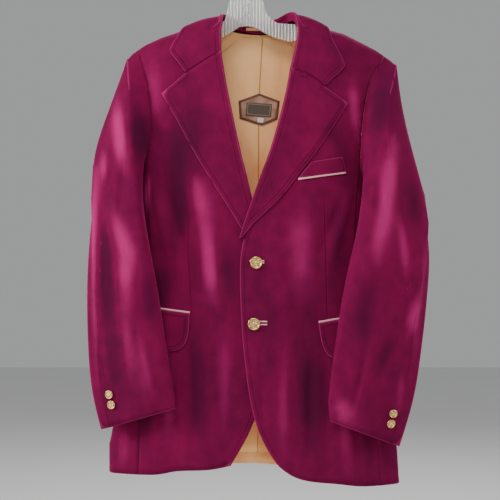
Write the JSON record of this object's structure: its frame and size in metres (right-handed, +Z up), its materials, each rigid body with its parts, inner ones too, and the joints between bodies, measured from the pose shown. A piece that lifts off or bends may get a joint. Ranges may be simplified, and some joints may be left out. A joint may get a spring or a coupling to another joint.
{
  "type": "smoking jacket on a clothes hanger",
  "caption": "Velvet smoking jacket with a wide notch lapel, flap pockets and metal buttons, hung open-necked on a moulded hanger with a wire hook.",
  "frame": {"origin": "inside top of the hanger's hook, where a rail carries it", "axes": "+Z up, -Y is the front of the jacket, +X is the wearer's left"},
  "size_m": [0.6142, 0.1366, 0.9585],
  "materials": {
    "velvet": "soft cut pile, deep burgundy",
    "lining_satin": "smooth satin",
    "piping_satin": "smooth satin",
    "leather": "matt",
    "woven_label": "woven, matt",
    "white_tape": "woven, matt",
    "brass": "polished rim, worn bowl",
    "clear_plastic": "clear moulded, ribbed",
    "steel": "bright"
  },
  "bodies": {
    "root": {"right_front": "velvet", "left_front": "velvet", "right_back": "velvet", "left_back": "velvet", "right_side": "velvet", "left_side": "velvet", "right_top_sleeve": "velvet", "left_top_sleeve": "velvet", "right_under_sleeve": "velvet", "left_under_sleeve": "velvet", "right_lapel": "velvet", "left_lapel": "velvet", "collar": "velvet", "right_pocket_flap": "velvet", "left_pocket_flap": "velvet", "breast_welt": "velvet", "right_pocket_piping": "piping_satin", "left_pocket_piping": "piping_satin", "breast_piping": "piping_satin", "back_lining": "lining_satin", "hanging_loop": "lining_satin", "leather_patch": "leather", "woven_label": "woven_label", "size_tab": "white_tape", "front_button_1": "brass", "front_button_2": "brass", "right_sleeve_button_1": "brass", "right_sleeve_button_2": "brass", "left_sleeve_button_1": "brass", "left_sleeve_button_2": "brass", "hanger": "clear_plastic", "hanger_hook": "steel"}
  },
  "joints": []
}
